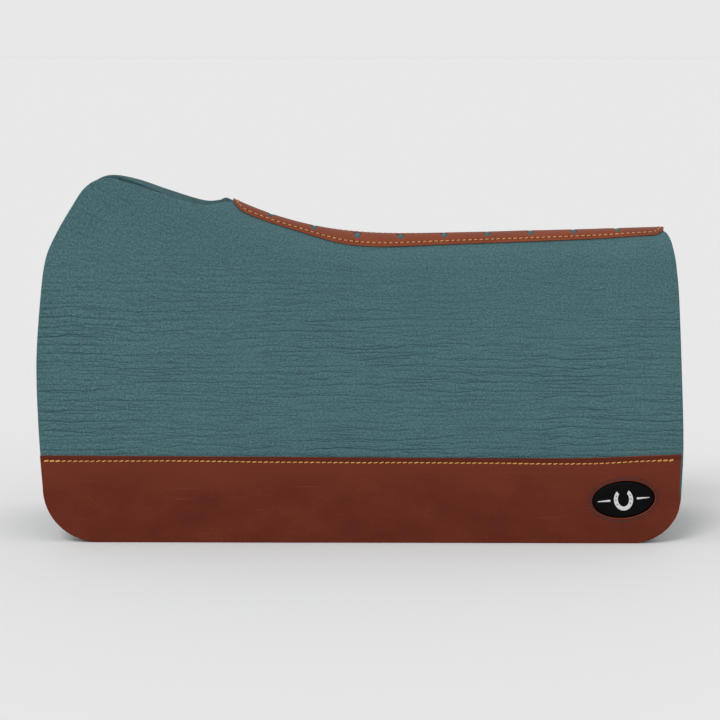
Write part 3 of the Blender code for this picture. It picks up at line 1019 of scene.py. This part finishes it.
colour = mix(add, 1.0, colour, ramp(add, blotch, [(0.35, 0.98), (0.65, 1.02)]), "MULTIPLY")
colour = mix(add, ramp(add, hair_lines, [(0.32, 0.30), (0.42, 0.0)]), colour, FELT_HAIR)
colour = mix(add, ramp(add, fleck, [(0.165, 0.85), (0.20, 0.0)]), colour, FELT_FLECK)
# Painted highlight on the lower lip of each crease, as if lit from above
colour = mix(add, math_node(add, "MULTIPLY", lip_highlight, 0.45), colour, FELT_LIP_HIGHLIGHT)
# Painted shade: dark lines in the creases
colour = mix(add, math_node(add, "MULTIPLY", crease_shade, 0.95), colour, FELT_CREASE_SHADE)
# Painted shade on the cut faces and the inner face
colour = mix(add, math_node(add, "MULTIPLY", value_of(add, "cut"), 0.45), colour, FELT_CUT_SHADE)
link(colour, shader.inputs["Base Color"])
heights = math_node(add, "ADD", fibre, math_node(add, "MULTIPLY", fuzz, 0.35))
bump = add("ShaderNodeBump", {"Height": heights, "Strength": 0.90, "Distance": 0.0014})
link(bump.outputs["Normal"], shader.inputs["Normal"])


# %% [markdown]
# ### The leathers' finish
#
# Pull-up leather is waxed, so it turns lighter where it is bent or rubbed. Slow noise makes its
# clouds and fine noise its grain. Its needle holes and the grooves of its rows get painted shade, the
# wear leather gets painted light below its row, and its pressed lines are drawn lighter. All are
# placed by what each point knows of its row and its diamond, so they stay with the stitches, as a
# picture of them might not.

# %% Marks on leather
HOLE = 0.00085
RING_HOLE = 0.00075
# Painted shade inside the needle holes
HOLE_SHADE = (0.012, 0.004, 0.003, 1)
# How far below the band's row the painted light fades out
PAINTED_LIGHT_REACH = 0.045


def row_marks(add, colour, row, pitch, hole, dark):
    """Paints shade into the needle holes of a row, and into the groove that the row lies in."""
    turns = math_node(add, "DIVIDE", row["X"], pitch)
    nearest = math_node(add, "SUBTRACT", turns, math_node(add, "ROUND", turns))
    along = math_node(add, "MULTIPLY", nearest, pitch)
    along_squared = math_node(add, "MULTIPLY", along, along)
    off_squared = math_node(add, "MULTIPLY", row["Y"], row["Y"])
    away = math_node(add, "SQRT", math_node(add, "ADD", along_squared, off_squared))
    # Painted shade in each needle hole
    hole_shade = math_node(add, "SUBTRACT", 1.6, math_node(add, "DIVIDE", away, hole), clamp=True)
    colour = mix(add, hole_shade, colour, HOLE_SHADE)
    # Painted shade in the groove that the row lies in
    groove_shade = near(add, row["Y"], 0.0, hole * 3)
    return mix(add, math_node(add, "MULTIPLY", groove_shade, 0.35), colour, tinted(dark, 0.45, 0.45, 0.45))


def around_top_row(add, colour, row, dark, light):
    """Leather darker above the row, with painted light below it that fades downwards, and a pressed line.
    """
    # Painted light from above: strongest at the row, fading downwards
    light_below_row = math_node(add, "DIVIDE", row["Y"], PAINTED_LIGHT_REACH)
    light_below_row = math_node(add, "ADD", 1.0, light_below_row, clamp=True)
    colour = mix(add, math_node(add, "MULTIPLY", light_below_row, 0.60), colour, (*light, 1))
    above = math_node(add, "MULTIPLY", row["Y"], 600.0, clamp=True)
    colour = mix(add, math_node(add, "MULTIPLY", above, 0.55), colour, tinted(dark, 0.70, 0.66, 0.66))
    pressed = near(add, row["Y"], PRESSED_LINE, 0.0007)
    return mix(add, math_node(add, "MULTIPLY", pressed, 0.25), colour, tinted(light, 1.4, 1.6, 1.6))


def diamond_lines(add, colour, row, dark, light):
    """A lighter pressed line round each diamond."""
    reach = math_node(add, "MULTIPLY", value_of(add, "diamond"), 0.5)
    lines = ramp(add, reach, [(0.63, 0.0), (0.68, 0.45), (0.73, 0.0)])
    return mix(add, lines, colour, tinted(light, 1.5, 1.7, 1.7))


# %% Leather
def leather(name, dark, light, rim_colour, rows, own_marks):
    """Pull-up leather, lighter where it is worked. Each of its rows has a name, a pitch and a hole size."""
    material, shader, add, link = new_material(name, 0.55, Specular_IOR_Level=0.10)
    places = flat_places(add)
    cloud = noise_of(add, stretched(add, places, (14, 22, 14)), 3, 0.55)
    grain = noise_of(add, stretched(add, places, (900, 900, 900)), 3, 0.6)
    pores = noise_of(add, stretched(add, places, (330, 330, 330)), 2, 0.5)
    scuffs = noise_of(add, stretched(add, places, (11, 480, 11)), 1, 0.5)
    colour = mix(add, ramp(add, cloud, [(0.20, 0.0), (0.80, 1.0)]), (*dark, 1), (*light, 1))
    colour = mix(add, 1.0, colour, ramp(add, pores, [(0.30, 0.93), (0.70, 1.05)]), "MULTIPLY")
    scuffed = ramp(add, scuffs, [(0.70, 0.0), (0.78, 0.30)])
    colour = mix(add, scuffed, colour, tinted(light, 1.7, 2.2, 2.2))
    for number, (row_name, pitch, hole) in enumerate(rows):
        row = parts_of(add, row_name)
        colour = row_marks(add, colour, row, pitch, hole, dark)
        if number == 0:
            colour = own_marks(add, colour, row, dark, light)
    rim = math_node(add, "MULTIPLY", value_of(add, "rim"), 0.85)
    colour = mix(add, rim, colour, (*rim_colour, 1))
    link(colour, shader.inputs["Base Color"])
    rough = ramp(add, cloud, [(0.30, 0.46), (0.70, 0.60)])
    link(rough, shader.inputs["Roughness"])
    fine = add("ShaderNodeBump", {"Height": grain, "Strength": 0.25, "Distance": 0.0004})
    wider = {"Height": pores, "Strength": 0.20, "Distance": 0.0007, "Normal": fine.outputs["Normal"]}
    link(add("ShaderNodeBump", wider).outputs["Normal"], shader.inputs["Normal"])
    return material


BAND_DARK, BAND_LIGHT = (0.092, 0.0140, 0.0058), (0.150, 0.0280, 0.0130)
SPINE_DARK, SPINE_LIGHT = (0.165, 0.034, 0.013), (0.240, 0.056, 0.023)
BAND_RIM, SPINE_RIM = (0.38, 0.085, 0.036), (0.36, 0.090, 0.042)
band_sewing = [("row", band_pitch, HOLE), ("ring", ring_pitch, RING_HOLE)]
band_colours = (BAND_DARK, BAND_LIGHT, BAND_RIM)
band_paint = leather("wear_leather_brown", *band_colours, band_sewing, around_top_row)
spine_sewing = [("row", spine_pitch, HOLE)]
spine_colours = (SPINE_DARK, SPINE_LIGHT, SPINE_RIM)
spine_paint = leather("spine_leather_brown", *spine_colours, spine_sewing, diamond_lines)


# %% [markdown]
# ### The thread, the badge and its mark
#
# Waxed thread is twisted, which shows as slanting bands on each stitch, and its colour varies a
# little. The badge and its mark are smooth, with only a fine tooth.

# %% Thread, badge and mark
def thread_paint(name, dark, light):
    material, shader, add, link = new_material(name, 0.55, Sheen_Weight=0.15)
    places = flat_places(add)
    twist = add(
        "ShaderNodeTexWave",
        {"Vector": stretched(add, places, (1000, 1000, 1000)), "Scale": 0.55, "Distortion": 0.6},
        bands_direction="DIAGONAL",
    ).outputs["Fac"]
    patches = noise_of(add, stretched(add, places, (120, 300, 120)), 2, 0.5)
    colour = mix(add, twist, (*dark, 1), (*light, 1))
    colour = mix(add, 1.0, colour, ramp(add, patches, [(0.30, 0.80), (0.70, 1.12)]), "MULTIPLY")
    link(colour, shader.inputs["Base Color"])
    bump = add("ShaderNodeBump", {"Height": twist, "Strength": 0.5, "Distance": 0.0003})
    link(bump.outputs["Normal"], shader.inputs["Normal"])
    return material


gold = thread_paint("gold_thread", (0.48, 0.20, 0.030), (0.86, 0.44, 0.090))
spine_gold = thread_paint("spine_gold_thread", (0.44, 0.17, 0.040), (0.78, 0.36, 0.110))
fine_thread = thread_paint("fine_dark_thread", (0.060, 0.040, 0.036), (0.170, 0.110, 0.100))


def printed(name, colour_low, colour_high, roughness):
    """A smooth moulded finish with a fine tooth."""
    material, shader, add, link = new_material(name, roughness, Specular_IOR_Level=0.06)
    tooth = noise_of(add, stretched(add, flat_places(add), (1200, 1200, 1200)), 2, 0.5)
    link(mix(add, tooth, (*colour_low, 1), (*colour_high, 1)), shader.inputs["Base Color"])
    bump = add("ShaderNodeBump", {"Height": tooth, "Strength": 0.15, "Distance": 0.0002})
    link(bump.outputs["Normal"], shader.inputs["Normal"])
    return material


badge_paint = printed("badge_black", (0.0014, 0.0012, 0.0012), (0.0030, 0.0026, 0.0025), 0.55)
mark_paint = printed("badge_light_grey", (0.56, 0.56, 0.56), (0.68, 0.68, 0.68), 0.55)

# %% [markdown]
# ## Putting it together
#
# Each piece takes its finish and, but for the badges' marks, hides the plain node it stands for. It
# rides on the side that carries it. The felt, the spine strip and its row cross the fold, so they are
# attached to neither side.


def dress(piece, paint, node):
    piece.data.materials.append(paint)
    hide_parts(node)


for side_name in ("near", "off"):
    dress(felts[side_name], felt_paint, f"felt_{side_name}")
    dress(bands[side_name], band_paint, f"wear_leather_{side_name}")
    dress(band_rows[side_name], gold, f"wear_leather_stitching_{side_name}")
    dress(ring_rows[side_name], fine_thread, f"badge_stitching_{side_name}")
    dress(badges[side_name], badge_paint, f"badge_{side_name}")
    motifs[side_name].data.materials.append(mark_paint)
    for group in (bands, band_rows, ring_rows, badges, motifs):
        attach(group[side_name], f"{side_name}_side")
    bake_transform(felts[side_name])
dress(spine, spine_paint, "spine_leather")
dress(spine_thread, spine_gold, "spine_stitching")
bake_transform(spine)
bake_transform(spine_thread)
